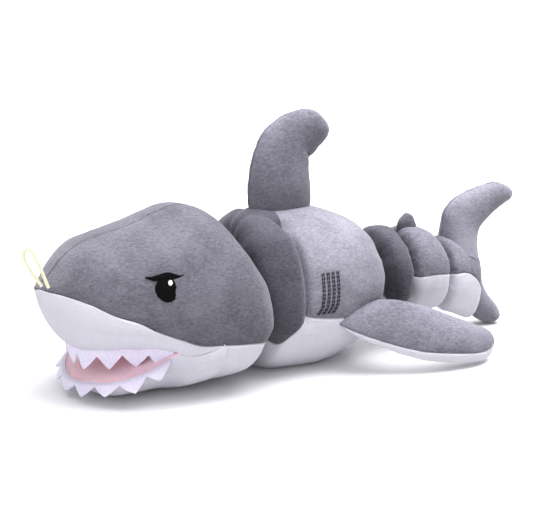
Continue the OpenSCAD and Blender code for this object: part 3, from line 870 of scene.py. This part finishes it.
class SHARK_OT_jaw(bpy.types.Operator):
    """White jaw with its pink felt lining."""

    bl_idname = "shark.jaw"
    bl_label = "Jaw"

    def execute(self, context):
        def lip(back):
            run = eased(120)
            return np.stack([JAW.front + 0.02 + (back - JAW.front) * run, np.full(run.shape, 90.0)], -1)

        left = lip(-82.5)
        skin = chamber_skin(
            "jaw_plush", JAW, between(around(left), left, crowded(100)), 13, "white", "white_plush",
            ["jaw_skin", "jaw_stuffing"], lumps=0.35, roll=1.2,
        )
        left = lip(-100)
        lining = chamber_skin(
            "mouth_floor_felt", JAW, between(left, other_side(left), crowded(80)), 15, "pink", "pink_felt",
            ["mouth_floor"], fill=0.6, thickness=table_mm(context.scene.shark_sizes.felt),
            lumps=0.4, roll=1.2, pucker=0.3,
        )
        for piece in (skin, lining):
            bend(piece, "head", "jaw", JAW_PIVOT, 14, -6)
        return {"FINISHED"}


def lip_route(chamber, rows, last, inside):
    """Half a strip's route along a lip, as (share, x, y, z), a little inside the skin."""
    places = edge(rows, np.linspace(0, last, 30))
    y, angle = places[:, 0], places[:, 1]
    points = chamber.point(y, angle)
    inward = chamber.core(y) - points
    points += inward * (inside / np.linalg.norm(inward, axis=1))[:, None]
    run = lengths(points[:, None], 0)
    return np.concatenate([run / run[-1], points], axis=1)


# Band that is left between a strip's folded part and its valleys
VALLEY = 0.4


def tooth_strip(name, route, band, tooth, band_way, tooth_way, seed, spread=0.0):
    """A felt strip cut in a zigzag.

    Along the strip, s runs from the right corner of the mouth to the left one; across it,
    the height runs along the band and then down to the zigzag edge. Each way is (part
    outward, part upward). Towards the corners the teeth turn outward by spread, and each
    tooth leans a little differently.
    """
    s = np.linspace(0, 1, 16 * TOOTH_COUNT + 1)
    place = smooth_rows(route, np.abs(2 * s - 1))
    place[:, 0] *= np.sign(2 * s - 1)
    ahead = np.gradient(place, axis=0)
    out = np.stack([ahead[:, 1], -ahead[:, 0], 0 * s], -1)
    out /= np.linalg.norm(out, axis=1, keepdims=True)
    up = np.array((0, 0, 1.0))
    part = s * TOOTH_COUNT % 1
    # Sharp valleys and slightly rounded tips
    height = tooth * (1 - np.abs(2 * part - 1) ** 1.12)
    which = np.floor(np.clip(s * TOOTH_COUNT, 0, TOOTH_COUNT - 0.01))
    lean = 0.25 * noise_along(which * 3.0, 1.0, seed) * np.sin(math.pi * part)
    lean += spread * np.abs(2 * s - 1) ** 1.5
    h = np.linspace(0, 1, 12)
    band_end = band + VALLEY
    down = (band_end + height)[:, None] * h[None]
    on_band = np.minimum(down, band)
    on_tooth = down - on_band
    grid = (
        place[:, None]
        + (out * band_way[0] + up * band_way[1])[:, None] * on_band[..., None]
        + (out * tooth_way[0] + up * tooth_way[1])[:, None] * on_tooth[..., None]
        + out[:, None] * (lean[:, None] * on_tooth)[..., None]
    )
    grid = grid + out[:, None] * (0.5 * noise(grid, 7, seed) * h)[..., None]
    grid[..., 2] = np.maximum(grid[..., 2], 0.9)
    _, forward = outward(grid, grid - out[:, None] * 20)
    thickness = table_mm(bpy.context.scene.shark_sizes.felt)
    obj = cloth_piece(name, grid, forward, material("felt"), thickness)
    return obj


class SHARK_OT_teeth(bpy.types.Operator):
    """Upper and lower felt teeth."""

    bl_idname = "shark.teeth"
    bl_label = "Teeth"

    def execute(self, context):
        tooth = table_mm(context.scene.shark_sizes.tooth)
        route = lip_route(HEAD, UPPER_LIP, 0.8, 1.6)
        upper = tooth_strip("upper_teeth_felt", route, 4.2, tooth, (0.05, -1), (0.02, -1), 21)
        lip = [(i, y, 90) for i, y in enumerate(JAW.front + (-113 - JAW.front) * eased(12))]
        route = lip_route(JAW, lip, 12, -0.4) + (0, 0, 0, 0.4)
        lower = tooth_strip(
            "lower_teeth_felt", route, 3.0, 0.85 * tooth, (0.9, -0.42), (0.45, -0.9), 23, 0.12)
        for obj, replaced, body in ((upper, "upper_teeth", "head"), (lower, "lower_teeth", "jaw")):
            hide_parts(replaced)
            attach(obj, body)
        return {"FINISHED"}


# The middle of the left eye as (y, angle), and the steps in y and angle that go 1 mm across
# and 1 mm down the eye
EYE_MIDDLE, EYE_ACROSS, EYE_DOWN = (-116.7, 62.1), (0.956, 0.0675), (-0.228, 1.02)
# Middle line of the lid with its lashes, as (share, mm across, mm down, half width)
LID = [
    (0, -12.7, -7.7, 0.25), (0.15, -9.2, -6.9, 1.0), (0.3, -5.8, -7.0, 1.8), (0.5, 0.2, -7.9, 2.2),
    (0.7, 5.8, -7.0, 1.8), (0.85, 8.4, -6.9, 1.0), (1, 11.0, -7.9, 0.25),
]


# Depth to which the embroidery goes into the plush
STITCH_DEPTH = 0.6


def eye_places(across, down):
    """Places (y, angle) on the head from millimetres across and down the eye."""
    return EYE_MIDDLE + across[..., None] * EYE_ACROSS + down[..., None] * EYE_DOWN


def raised_patch(name, places, height, kind):
    """Embroidery that stands out from the head over a grid of places, highest in the middle."""
    y, angle = places[..., 0], places[..., 1]
    grid = HEAD.point(y, angle)
    n, forward = outward(grid, HEAD.core(y))
    top = grid + n * height[..., None]
    bottom = grid - n * STITCH_DEPTH
    rows, cols = grid.shape[:2]
    count = rows * cols
    faces = list(grid_faces(rows, cols, forward)) + list(grid_faces(rows, cols, not forward) + count)
    loop = np.concatenate([
        np.arange(cols), np.arange(1, rows) * cols + cols - 1,
        (rows - 1) * cols + np.arange(cols - 2, -1, -1), np.arange(rows - 2, -1, -1) * cols,
    ])
    a, b = loop[:-1], loop[1:]
    side = np.stack([a, b, b + count, a + count], -1)
    faces += list(side if forward else side[:, ::-1])
    points = np.concatenate([top.reshape(-1, 3), bottom.reshape(-1, 3)])
    return make_mesh(name, points, faces, material(kind))


def oval(across, down, half_across, half_down, narrow=0.0, n=28):
    """An oval grid from a square one, and each point's share of the way out.

    Each square ring is drawn out to an ellipse, which is narrower below by that part.
    """
    u = np.linspace(-1, 1, n + 1)
    a, b = np.meshgrid(u, u, indexing="ij")
    a, b = a * np.sqrt(1 - b**2 / 2), b * np.sqrt(1 - a**2 / 2)
    places = eye_places(across + half_across * a * (1 - narrow * b), down + half_down * b)
    return places, np.minimum(np.hypot(a, b), 1)


class SHARK_OT_eyes(bpy.types.Operator):
    """Satin-stitched eyes with lids, lashes and a white light."""

    bl_idname = "shark.eyes"
    bl_label = "Eyes"

    def execute(self, context):
        for side, sign in (("left", 1), ("right", -1)):
            places, r = oval(0.35, 0.2, 7.4, 7.6, 0.1)
            eye = raised_patch(f"eye_{side}_oval", places * (1, sign), 0.55 + 0.35 * (1 - r**3), "black")
            rows = smooth_rows(LID, np.linspace(0, 1, 61))
            width = np.linspace(-1, 1, 9)
            places = eye_places(rows[:, :1] + 0 * width, rows[:, 1:2] + rows[:, 2:] * width)
            height = 0.65 + 0.3 * (1 - width**2) + 0 * rows[:, :1]
            lid = raised_patch(f"eye_{side}_lid", places * (1, sign), height, "black")
            places, r = oval(1.9, -3.6, 1.3, 1.6, n=12)
            glint = raised_patch(f"eye_{side}_light", places * (1, sign), 1.05 + 0.2 * (1 - r**2), "glint")
            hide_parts(f"eye_{side}")
            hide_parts(f"eye_glint_{side}")
            for obj, slot in ((eye, "black_thread"), (lid, "black_thread"), (glint, "white_thread")):
                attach(obj, "head")
        return {"FINISHED"}


TUCK_Y = -18.0
# One field of lumps for the neck and body skins
TRUNK_SEED = 31


def tuck(y, angle):
    """The sewn tuck behind the neck: a narrow groove on each side that fades towards the back.

    A full roll of fabric stands in front of it.
    """
    turn = from_top(angle)
    strength = ramp(turn, 15, 50) * ramp(-turn, -118, -96)
    groove = 5.5 * np.exp(-(np.abs(y - TUCK_Y) / 2.6) ** 1.3)
    roll = 1.6 * np.exp(-(((y - TUCK_Y + 8) / 6) ** 2)) - 0.8 * np.exp(-(((y - TUCK_Y - 7) / 5) ** 2))
    shoulder = 6.0 * np.exp(-(((y + 40) / 3.5) ** 2)) * ramp(-turn, -125, -95)
    return strength * (roll - groove) + shoulder + gathers(y, angle, TRUNK.front, 50, 7, 0.7)


def trunk_folds(y, angle):
    """The tuck, the dimple where its thread ends on the back, and folds at the rump."""
    turn = from_top(angle)
    dimple = 4.0 * np.exp(-(((y + 20) / 5) ** 2) - ((turn - 25) / 8) ** 2)
    fold = 1.5 * np.exp(-(((y + 20 + (25 - turn) * 0.9) / 4.5) ** 2))
    fold *= ramp(turn, 0, 8) * ramp(-turn, -26, -18)
    rear = 1.5 * np.exp(-(((turn - 24 + (y + 20) * 0.35) / 6) ** 2))
    rear *= ramp(y, -21, -17) * ramp(-y, 0, 10)
    return tuck(y, angle) - dimple - fold - rear + gathers(y, angle, TRUNK.back, 60, 12, 1.1)


class SHARK_OT_trunk(bpy.types.Operator):
    """Neck and body skins, back and belly."""

    bl_idname = "shark.trunk"
    bl_label = "Body"

    def execute(self, context):
        for name, seam, kind, slot, n, nodes in (
            # The neck's deep plush holds painted shade as well as its brushed-over pile
            ("neck", NECK_SEAM, "deep", "dark_plush", 60, ["neck_back"]),
            ("torso", TORSO_SEAM, "light", "light_plush", 150, ["torso_back", "body_stuffing"]),
        ):
            left = edge(seam, eased(n))
            back = chamber_skin(
                f"{name}_back_plush", TRUNK, between(left, other_side(left), crowded(190, 0.6)), TRUNK_SEED,
                kind, slot, nodes, trunk_folds,
            )
            belly = chamber_skin(
                f"{name}_belly_plush", TRUNK, between(around(left), left, crowded(120, 0.6)), TRUNK_SEED,
                "white", "white_plush", [f"{name}_belly"], trunk_folds,
            )
            for piece in (back, belly):
                if name == "neck":
                    bend_neck(piece, behind=True)
                else:
                    bend(piece, "torso", "tail_base", RUMP, -9, 9)
        return {"FINISHED"}


def stitches(name, paths, radius, length, gap, kind):
    """Rows of stitches: each is a small spindle of thread along its path, radius times a half sine."""
    m, n = 8, 7
    turn = np.linspace(0, 2 * math.pi, m, endpoint=False)
    t = np.linspace(0, 1, n)
    points, faces, offset = [], [], 0
    for path, normal in paths:
        run = lengths(path[:, None], 0)[:, 0]
        count = int(run[-1] // (length + gap))
        for i in range(count):
            at = i * (length + gap) + t * length
            middle = np.stack([np.interp(at, run, path[:, c]) for c in range(3)], -1)
            lift = np.stack([np.interp(at, run, normal[:, c]) for c in range(3)], -1)
            ahead = middle[-1] - middle[0]
            ahead = ahead / np.linalg.norm(ahead)
            side = np.cross(lift, ahead)
            size = radius * (0.35 + 0.65 * np.sin(math.pi * t))
            ring = (
                side[:, None] * np.cos(turn)[None, :, None] + lift[:, None] * np.sin(turn)[None, :, None]
            ) * size[:, None, None]
            grid = middle[:, None] + ring + lift[:, None] * radius * 0.4
            points.append(grid.reshape(-1, 3))
            faces += [f + offset for f in grid_faces(n, m, False, wrap=True)]
            faces += [offset + np.arange(m)[::-1], offset + (n - 1) * m + np.arange(m)]
            offset += n * m
    return make_mesh(name, np.concatenate(points), faces, material(kind))


# Gill lines as (share, y, angle), repeated along the body
GILL = [(0, -7.2, 70), (0.7, -8.2, 93), (1, -11.6, 100)]
GILL_COUNT, GILL_SPACING = 4, 3.4


class SHARK_OT_gills(bpy.types.Operator):
    """Four stitched gill lines on each side, each of two rows of thread."""

    bl_idname = "shark.gills"
    bl_label = "Gills"

    def execute(self, context):
        for side, sign in (("left", 1), ("right", -1)):
            paths = []
            for i in range(GILL_COUNT):
                for shift in (-0.6, 0.6):
                    places = edge(GILL, np.linspace(0, 1, 80)) + (GILL_SPACING * i + shift, 0)
                    y, angle = places[:, 0], places[:, 1] * sign
                    at, behind, below = (
                        TRUNK.point(y + dy, angle + turn) for dy, turn in ((0, 0), (0.5, 0), (0, 0.5)))
                    normal = np.cross(behind - at, below - at)
                    normal /= np.linalg.norm(normal, axis=1, keepdims=True)
                    normal *= np.sign(np.sum((at - TRUNK.core(y)) * normal))
                    lift = trunk_folds(y, angle)
                    lift += 0.9 * noise(at, LUMP, TRUNK_SEED) + 0.3 * noise(at, SMALL_LUMP, TRUNK_SEED + 1)
                    paths.append((at + normal * lift[:, None], normal))
            obj = stitches(f"gills_{side}_thread", paths, 0.45, 2.3, 0.2, "gill")
            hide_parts(f"gills_{side}")
            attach(obj, "torso")
        return {"FINISHED"}


# Each crease of the tail: the bodies it joins, its place, and where the bend starts and ends
RUMP_CREASE = ("torso", "tail_base", RUMP, -9, 9)
MIDDLE_CREASE = ("tail_base", "tail_mid", TAIL_BEND, -9, 9)
TIP_CREASE = ("tail_mid", "tail_end", TAIL_TIP_BEND, -10, 10)


def tail_skins(name, chamber, seam, span, kind, slot, nodes, seed, fold_seed, crease):
    """Back and belly skins of a tail chamber between two y places, with their transforms baked; the crease is
    passed on but they do not bend.
    """
    low, high = span
    y = low + (high - low) * eased(max(int((high - low) * 1.6), 24))
    angle = smooth_rows([row[1:] for row in seam], y)[:, 0]
    left = np.stack([y, angle], -1)

    def folds(y, angle):
        front = gathers(y, angle, chamber.front, fold_seed, 6, 0.7)
        return front + gathers(y, angle, chamber.back, fold_seed + 3, 6, 0.7)

    back_nodes, belly_nodes = nodes
    hems = {"roll": 1.3, "pucker": 0.3, "lumps": 0.6}
    back = chamber_skin(
        f"{name}_back_plush", chamber, between(left, other_side(left), crowded(120, 0.6)), seed, kind, slot,
        back_nodes, folds, **hems,
    )
    belly = chamber_skin(
        f"{name}_belly_plush", chamber, between(around(left), left, crowded(90, 0.6)), seed, "white",
        "white_plush", belly_nodes, folds, **hems,
    )
    for piece in (back, belly):
        bend(piece, *crease)


class SHARK_OT_tail(bpy.types.Operator):
    """Skins of the three tail chambers.

    A chamber between two creases is made in a fore and an aft half, each given its own crease.
    """

    bl_idname = "shark.tail"
    bl_label = "Tail"

    def execute(self, context):
        in_base = 0.5 * (RUMP[1] + TAIL_BEND[1])
        in_mid = 0.5 * (TAIL_BEND[1] + TAIL_TIP_BEND[1])
        for name, chamber, seam, middle, kind, slot, seed, fold_seed, creases in (
            # The tail base's deep plush holds painted shade as well as its brushed-over pile
            ("tail_base", TAIL_BASE, TAIL_BASE_SEAM, in_base, "deep", "dark_plush", 71, 80,
             (RUMP_CREASE, MIDDLE_CREASE)),
            ("tail_mid", TAIL_MID, TAIL_MID_SEAM, in_mid, "middle", "dark_plush", 73, 84,
             (MIDDLE_CREASE, TIP_CREASE)),
            ("tail_end", TAIL_END, TAIL_END_SEAM, None, "middle", "light_plush", 75, 88, (TIP_CREASE,)),
        ):
            front, back = chamber.front + 0.01, chamber.back - 0.01
            nodes = [f"{name}_back", f"{name}_stuffing"], [f"{name}_belly"]
            if middle is None:
                halves = ((name, (front, back), nodes),)
            else:
                halves = (
                    (f"{name}_fore", (front, middle), nodes), (f"{name}_aft", (middle, back), ([], [])),
                )
            for (half, span, stands_for), crease in zip(halves, creases):
                tail_skins(half, chamber, seam, span, kind, slot, stands_for, seed, fold_seed, crease)
        return {"FINISHED"}


def fin_skin(name, fin, turns, steps, seed, kind, slot, nodes, folds=None, fill=FILL, side=1, **hems):
    """One half of a fin's padded skin, between two turns round its ribs, hemmed along both edges."""
    sizes = bpy.context.scene.shark_sizes
    share = 1 - (1 - np.linspace(0, 1, steps[0] + 1)) ** 1.3
    turn = turns[0] + (turns[1] - turns[0]) * crowded(steps[1], 0.55)
    share, turn = np.meshgrid(share, turn, indexing="ij")
    hems = {
        "roll": 1.1, "pucker": 0.7 * table_mm(sizes.pucker), "lumps": 0.5 * table_mm(sizes.lumps), **hems,
    }
    extra = folds(share, turn) if folds else 0.0
    grid, forward = sewn(fin.point(share, turn), fin.core(share), seed, extra=extra, **hems)
    obj = cloth_piece(name, grid * (side, 1, 1), forward == (side > 0), material(kind))
    return finish_cloth(obj, nodes)


def dorsal_crease(share, turn):
    """The fold where the dorsal fin bends back: a groove from the trailing edge that dies out inward."""
    trailing = np.abs((turn + 360) % 360 - 180) / 180
    across = np.exp(-(((share - 0.5 - 0.12 * trailing) / 0.05) ** 2))
    return -2.4 * across * np.exp(-(((trailing - 0.2) / 0.14) ** 2))


class SHARK_OT_fins(bpy.types.Operator):
    """Dorsal, pectoral, small second dorsal and tail fins."""

    bl_idname = "shark.fins"
    bl_label = "Fins"

    def execute(self, context):
        for side, turns in (("left", (1, 179)), ("right", (181, 359))):
            inside = side == "left"
            dorsal = fin_skin(
                f"dorsal_{side}_plush", DORSAL, turns, (130, 70), 91, "middle", "light_plush",
                [f"dorsal_{side}_panel"] + ["dorsal_stuffing"] * inside, dorsal_crease, roll=2.0,
            )
            bend(dorsal, "torso", "dorsal_fin", DORSAL_PIVOT, -2, 14, (0, 0, 1))
            caudal = fin_skin(
                f"caudal_{side}_plush", CAUDAL, turns, (110, 60), 93, "light", "light_plush",
                [f"caudal_{side}_panel"] + ["caudal_stuffing"] * inside,
            )
            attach(caudal, "tail_end")
        for side, sign in (("left", 1), ("right", -1)):
            name = f"pectoral_{side}"
            for face, turns, kind, slot, nodes in (
                ("top", (-2, 182), "middle", "light_plush", [f"{name}_top", f"{name}_stuffing"]),
                ("underside", (182.6, 357.4), "white", "white_plush", [f"{name}_underside"]),
            ):
                obj = fin_skin(
                    f"{name}_{face}_plush", PECTORAL, turns, (120, 80), 95, kind, slot, nodes, fill=0.7,
                    side=sign,
                )
                centre = PECTORAL_PIVOT * (sign, 1, 1)
                bend(obj, "torso", name, centre, -3, 14, (sign * 0.93, 0.25, -0.25))
        turn = np.linspace(0, 360, 64, endpoint=False)
        for name, fin, kind, slot, nodes, body in (
            ("second_dorsal_plush", SECOND_DORSAL, "dark", "dark_plush", ["second_dorsal"], "tail_mid"),
            ("lower_lobe_plush", LOWER_LOBE, "light", "light_plush", ["lower_lobe"], "tail_end"),
        ):
            share, turns = np.meshgrid(np.linspace(0, 1, 60), turn, indexing="ij")
            grid = fin.point(share, turns)
            n, forward = outward(grid, fin.core(share))
            grid = grid + n * (0.3 * noise(grid, 9, 97) + 0.1 * noise(grid, 2.4, 98))[..., None]
            grid[..., 2] = np.maximum(grid[..., 2], FLOOR_CLEARANCE)
            obj = closed_piece(name, grid, forward, material(kind))
            finish_cloth(obj, nodes)
            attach(obj, body)
        return {"FINISHED"}


class SHARK_OT_inner_parts(bpy.types.Operator):
    """Materials of the squeaker and of the gathering thread, whose shapes come from the part."""

    bl_idname = "shark.inner_parts"
    bl_label = "Inner parts"

    def execute(self, context):
        for name, kind in (
            ("squeaker_bulb", "plastic"), ("squeaker_reed", "plastic"), ("squeaker_cap", "plastic"),
            ("neck_gather_thread", "tie"),
        ):
            mesh = frame["nodes"][name].data
            mesh.materials.clear()
            mesh.materials.append(material(kind))
        return {"FINISHED"}


OPERATORS = (
    SHARK_OT_stage, SHARK_OT_hang_loop, SHARK_OT_head, SHARK_OT_jaw, SHARK_OT_teeth, SHARK_OT_eyes,
    SHARK_OT_trunk, SHARK_OT_gills, SHARK_OT_tail, SHARK_OT_fins, SHARK_OT_inner_parts,
)


class SHARK_PT_panel(bpy.types.Panel):
    """Sidebar panel with the sizes, the colours and one button for each group of pieces."""

    bl_idname = "SHARK_PT_panel"
    bl_label = "Plush shark"
    bl_space_type = "VIEW_3D"
    bl_region_type = "UI"
    bl_category = "Shark"

    def draw(self, context):
        for group in (context.scene.shark_sizes, context.scene.shark_colours):
            for name in group.bl_rna.properties.keys():
                if name not in ("rna_type", "name"):
                    self.layout.prop(group, name)
        for operator in OPERATORS:
            self.layout.operator(operator.bl_idname)


CLASSES = (SharkSizes, SharkColours, *OPERATORS, SHARK_PT_panel)


def register():
    """Registers the classes, and the sizes and colours of the scene."""
    for cls in CLASSES:
        bpy.utils.register_class(cls)
    bpy.types.Scene.shark_sizes = PointerProperty(type=SharkSizes)
    bpy.types.Scene.shark_colours = PointerProperty(type=SharkColours)


def unregister():
    """Takes away what register added."""
    del bpy.types.Scene.shark_colours
    del bpy.types.Scene.shark_sizes
    for cls in reversed(CLASSES):
        bpy.utils.unregister_class(cls)


def main():
    """Makes every group of pieces in order."""
    register()
    for operator in OPERATORS:
        group, name = operator.bl_idname.split(".")
        getattr(getattr(bpy.ops, group), name)()


if __name__ == "__main__":
    main()
